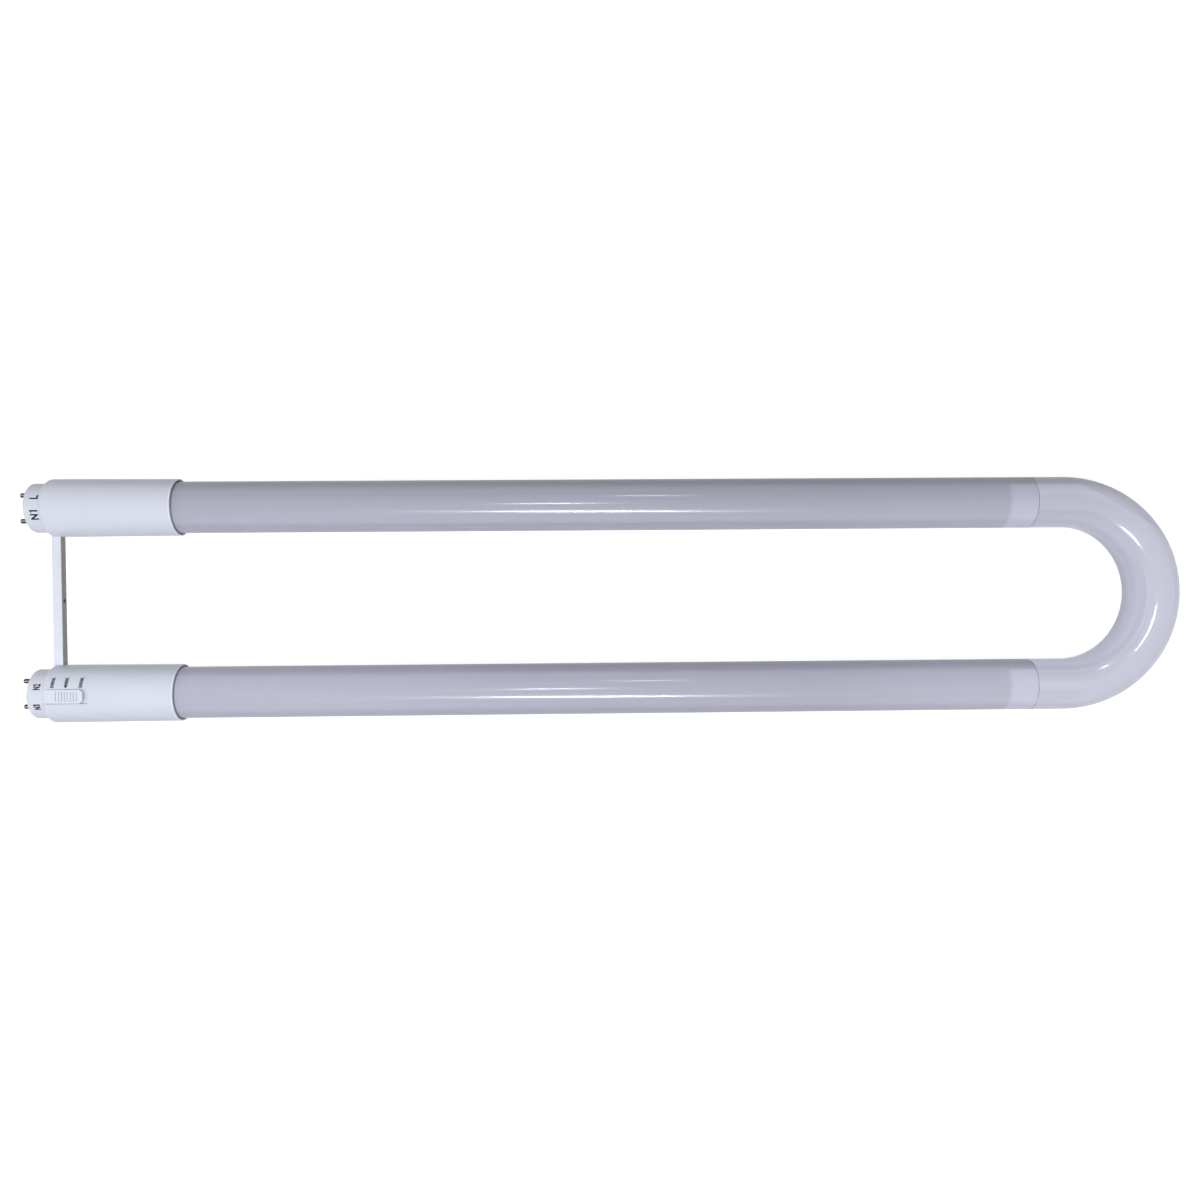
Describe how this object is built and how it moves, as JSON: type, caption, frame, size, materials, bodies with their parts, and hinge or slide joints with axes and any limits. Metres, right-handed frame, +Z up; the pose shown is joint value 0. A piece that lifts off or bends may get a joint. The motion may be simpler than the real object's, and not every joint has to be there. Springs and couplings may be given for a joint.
{
  "type": "u-bend led tube",
  "caption": "U-shaped frosted LED lamp tube with a bi-pin cap on each leg, a spacer bar between the caps and a sliding light colour switch.",
  "frame": {"origin": "under the middle of the lamp, on the surface that it lies on", "axes": "+X along the legs from the pins to the bend, +Y from the leg with the switch to the other leg, +Z up, towards the side with the switch"},
  "size_m": [0.5792, 0.1206, 0.0289],
  "materials": {
    "frosted_glass": "glossy outside, frosted inside",
    "frosted_plastic": "glossy, milky",
    "white_plastic": "satin moulded",
    "plated_pin": "dull plated",
    "circuit_board": "white solder mask",
    "led_phosphor": "domed",
    "silicone": "matt",
    "ferrite": "matt",
    "copper_wire": "enamelled",
    "black_resin": "matt",
    "film_case": "satin",
    "varistor_coat": "lacquered",
    "winding_tape": "taped",
    "can_sleeve": "sleeved",
    "wire_sleeve": "smooth"
  },
  "bodies": {
    "lamp": {"leg_tube_a": "frosted_glass", "leg_tube_b": "frosted_glass", "u_bend": "frosted_plastic", "bend_wires": "wire_sleeve", "end_cap_a": "white_plastic", "end_cap_b": "white_plastic", "pin_l": "plated_pin", "pin_n1": "plated_pin", "pin_n2": "plated_pin", "pin_n3": "plated_pin", "spacer_bar": "white_plastic", "switch_case": "black_resin", "driver_board_a": "circuit_board", "fuse": "black_resin", "varistor": "varistor_coat", "film_capacitor": "film_case", "choke_core": "ferrite", "choke_winding": "copper_wire", "bridge_rectifier": "black_resin", "link_header_a": "black_resin", "link_pins_a": "plated_pin", "driver_board_b": "circuit_board", "control_chip": "black_resin", "transformer_core": "ferrite", "transformer_winding": "winding_tape", "bulk_capacitor": "can_sleeve", "link_header_b": "black_resin", "link_pins_b": "plated_pin", "led_board_a": "circuit_board", "board_bond_a": "silicone", "leds_a": "led_phosphor", "led_board_b": "circuit_board", "board_bond_b": "silicone", "leds_b": "led_phosphor"},
    "slider": {"switch_slider": "white_plastic", "switch_knob": "black_resin"}
  },
  "joints": [
    {"name": "colour_switch", "type": "slide", "parent": "lamp", "child": "slider", "axis": [1, 0, 0], "range_m": [-0.002, 0.002]}
  ]
}
